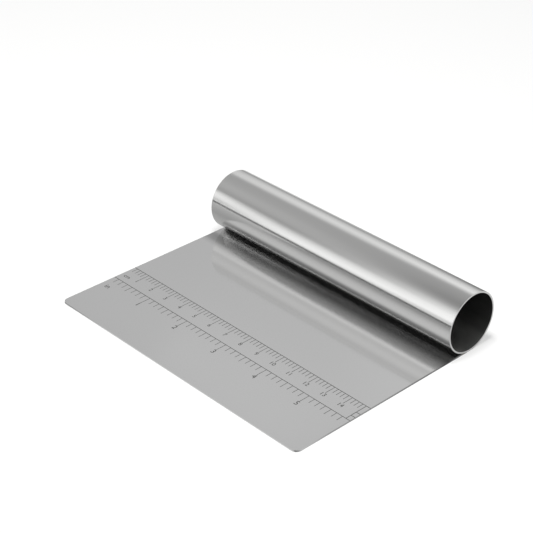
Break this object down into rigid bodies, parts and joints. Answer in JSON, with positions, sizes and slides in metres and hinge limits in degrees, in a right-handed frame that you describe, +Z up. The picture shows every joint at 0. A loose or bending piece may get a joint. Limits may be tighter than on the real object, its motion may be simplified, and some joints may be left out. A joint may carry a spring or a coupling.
{
  "type": "dough scraper",
  "caption": "Flat steel bench scraper with a full-width open tube handle along its rear edge and engraved metric and inch scales.",
  "frame": {"origin": "on the table under the middle of the whole part, with the blade lying flat", "axes": "+X along the handle and the scraping edge, in the direction in which the scales count up; +Y from the scraping edge to the handle; +Z up, off the face with the scales"},
  "size_m": [0.15, 0.12, 0.0294],
  "materials": {
    "blade_steel": "fine satin",
    "handle_steel": "semi-bright, brushed along the tube",
    "weld_steel": "ground weld",
    "mark_filling": "dull dark grey"
  },
  "bodies": {
    "root": {"blade": "blade_steel", "handle_tube": "handle_steel", "seam_weld": "weld_steel", "metric_marks": "mark_filling", "inch_marks": "mark_filling"}
  },
  "joints": []
}
